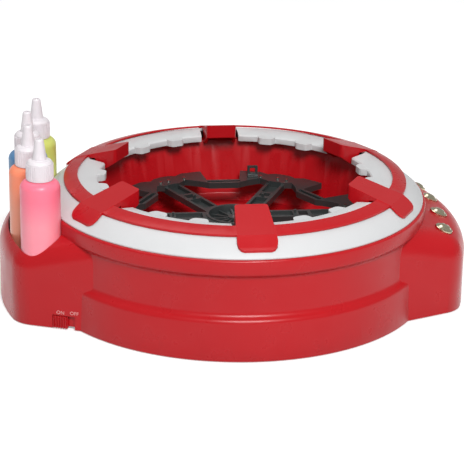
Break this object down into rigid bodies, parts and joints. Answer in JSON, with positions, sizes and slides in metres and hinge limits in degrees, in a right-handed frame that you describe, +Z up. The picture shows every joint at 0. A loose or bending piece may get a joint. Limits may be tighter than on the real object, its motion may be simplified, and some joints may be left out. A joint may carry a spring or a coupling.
{
  "type": "spin art machine",
  "caption": "Battery-driven spin art machine: round basin with a motor-turned spinner, lift-off splash ring and clamp wheel, a pocket of paint bottles and a row of push buttons.",
  "frame": {"origin": "on the table, under the spindle axis, at the feet's lowest face", "axes": "+Z up, -Y towards the user, +X to the user's right, through the lobe with the push buttons; the bottle pocket is on the -X side"},
  "size_m": [0.4007, 0.331, 0.1562],
  "materials": {
    "red_plastic": "satin moulded red plastic",
    "white_plastic": "satin moulded white plastic",
    "grey_plastic": "matt dark grey plastic",
    "black_plastic": "matt black plastic",
    "natural_plastic": "natural nylon",
    "steel": "bright steel",
    "plated_steel": "nickel plated",
    "button_metal": "metallised champagne silver dome",
    "bronze": "sintered bronze",
    "rubber": "matt",
    "board": "green board",
    "cell_jacket": "plain printed jacket",
    "cap_white": "soft white plastic",
    "bottle_pink": "soft translucent squeeze bottle tinted by its paint",
    "paint_pink": "paint",
    "bottle_orange": "soft translucent squeeze bottle tinted by its paint",
    "paint_orange": "paint",
    "bottle_blue": "soft translucent squeeze bottle tinted by its paint",
    "paint_blue": "paint",
    "bottle_yellow": "soft translucent squeeze bottle tinted by its paint",
    "paint_yellow": "paint"
  },
  "bodies": {
    "housing": {"upper_body": "red_plastic", "base_plate": "red_plastic", "rubber_feet": "rubber", "base_screws": "steel", "splash_basin": "red_plastic", "gearbox_plate": "black_plastic", "gearbox_screws": "steel", "motor_can": "plated_steel", "motor_end_cap": "natural_plastic", "reduction_axle": "steel", "upper_bush": "bronze", "lower_bush": "bronze", "battery_box": "black_plastic", "battery_cell_1": "cell_jacket", "battery_cell_2": "cell_jacket", "battery_cell_3": "cell_jacket", "battery_cell_4": "cell_jacket", "battery_contacts": "plated_steel", "battery_springs": "plated_steel", "button_board": "board", "tact_switches": "black_plastic", "slide_switch": "black_plastic"},
    "spinner": {"spinner_frame": "grey_plastic", "spinner_pins": "plated_steel", "card_clips": "grey_plastic", "spindle_shaft": "steel", "drive_hub": "grey_plastic", "spindle_gear": "natural_plastic"},
    "reduction_gear": {"reduction_gear": "natural_plastic"},
    "motor_rotor": {"motor_pinion": "bronze"},
    "splash_ring": {"splash_ring": "white_plastic"},
    "clamp_wheel": {"clamp_wheel": "red_plastic"},
    "power_switch": {"switch_knob": "red_plastic"},
    "battery_door": {"battery_door": "red_plastic"},
    "speed_button_1": {"speed_button_1": "button_metal"},
    "speed_button_2": {"speed_button_2": "button_metal"},
    "speed_button_3": {"speed_button_3": "button_metal"},
    "speed_button_4": {"speed_button_4": "button_metal"},
    "paint_bottle_pink": {"paint_bottle_pink": "bottle_pink", "paint_fill_pink": "paint_pink"},
    "paint_cap_pink": {"paint_cap_pink": "cap_white"},
    "paint_bottle_orange": {"paint_bottle_orange": "bottle_orange", "paint_fill_orange": "paint_orange"},
    "paint_cap_orange": {"paint_cap_orange": "cap_white"},
    "paint_bottle_blue": {"paint_bottle_blue": "bottle_blue", "paint_fill_blue": "paint_blue"},
    "paint_cap_blue": {"paint_cap_blue": "cap_white"},
    "paint_bottle_yellow": {"paint_bottle_yellow": "bottle_yellow", "paint_fill_yellow": "paint_yellow"},
    "paint_cap_yellow": {"paint_cap_yellow": "cap_white"}
  },
  "joints": [
    {"name": "spinner_spin", "type": "hinge", "parent": "housing", "child": "spinner", "pos_m": [0, 0, 0.05], "axis": [0, 0, 1], "continuous": true},
    {"name": "reduction_gear_spin", "type": "hinge", "parent": "housing", "child": "reduction_gear", "pos_m": [0.024, 0, 0.036], "axis": [0, 0, 1], "continuous": true},
    {"name": "motor_spin", "type": "hinge", "parent": "housing", "child": "motor_rotor", "pos_m": [0.024, -0.02, 0.034], "axis": [0, 0, 1], "continuous": true},
    {"name": "splash_ring_lift", "type": "slide", "parent": "housing", "child": "splash_ring", "axis": [0, 0, 1], "range_m": [0, 0.06]},
    {"name": "clamp_wheel_lift", "type": "slide", "parent": "splash_ring", "child": "clamp_wheel", "axis": [0, 0, 1], "range_m": [0, 0.05]},
    {"name": "power_switch_slide", "type": "slide", "parent": "housing", "child": "power_switch", "axis": [0.9291, -0.3697, 0], "range_m": [0, 0.0062]},
    {"name": "battery_door_lift", "type": "slide", "parent": "housing", "child": "battery_door", "axis": [0, 0, -1], "range_m": [0, 0.03]},
    {"name": "speed_button_1_press", "type": "slide", "parent": "housing", "child": "speed_button_1", "axis": [-0.3463, 0.1099, -0.9317], "range_m": [0, 0.0016], "stiffness_N_per_m": 300, "springref_m": -0.001},
    {"name": "speed_button_2_press", "type": "slide", "parent": "housing", "child": "speed_button_2", "axis": [-0.3612, 0.0399, -0.9317], "range_m": [0, 0.0016], "stiffness_N_per_m": 300, "springref_m": -0.001},
    {"name": "speed_button_3_press", "type": "slide", "parent": "housing", "child": "speed_button_3", "axis": [-0.3612, -0.0399, -0.9317], "range_m": [0, 0.0016], "stiffness_N_per_m": 300, "springref_m": -0.001},
    {"name": "speed_button_4_press", "type": "slide", "parent": "housing", "child": "speed_button_4", "axis": [-0.3463, -0.1099, -0.9317], "range_m": [0, 0.0016], "stiffness_N_per_m": 300, "springref_m": -0.001},
    {"name": "paint_bottle_pink_lift", "type": "slide", "parent": "housing", "child": "paint_bottle_pink", "axis": [0, 0, 1], "range_m": [0, 0.12]},
    {"name": "paint_cap_pink_twist", "type": "hinge", "parent": "paint_bottle_pink", "child": "paint_cap_pink", "pos_m": [-0.16754, -0.05769, 0.13], "axis": [0, 0, 1], "range_deg": [0, 540]},
    {"name": "paint_bottle_orange_lift", "type": "slide", "parent": "housing", "child": "paint_bottle_orange", "axis": [0, 0, 1], "range_m": [0, 0.12]},
    {"name": "paint_cap_orange_twist", "type": "hinge", "parent": "paint_bottle_orange", "child": "paint_cap_orange", "pos_m": [-0.17612, -0.01955, 0.13], "axis": [0, 0, 1], "range_deg": [0, 540]},
    {"name": "paint_bottle_blue_lift", "type": "slide", "parent": "housing", "child": "paint_bottle_blue", "axis": [0, 0, 1], "range_m": [0, 0.12]},
    {"name": "paint_cap_blue_twist", "type": "hinge", "parent": "paint_bottle_blue", "child": "paint_cap_blue", "pos_m": [-0.17612, 0.01955, 0.13], "axis": [0, 0, 1], "range_deg": [0, 540]},
    {"name": "paint_bottle_yellow_lift", "type": "slide", "parent": "housing", "child": "paint_bottle_yellow", "axis": [0, 0, 1], "range_m": [0, 0.12]},
    {"name": "paint_cap_yellow_twist", "type": "hinge", "parent": "paint_bottle_yellow", "child": "paint_cap_yellow", "pos_m": [-0.16754, 0.05769, 0.13], "axis": [0, 0, 1], "range_deg": [0, 540]}
  ],
  "couplings": [
    {"joint": "reduction_gear_spin", "follows": "spinner_spin", "ratio": -4},
    {"joint": "motor_spin", "follows": "spinner_spin", "ratio": 16}
  ]
}
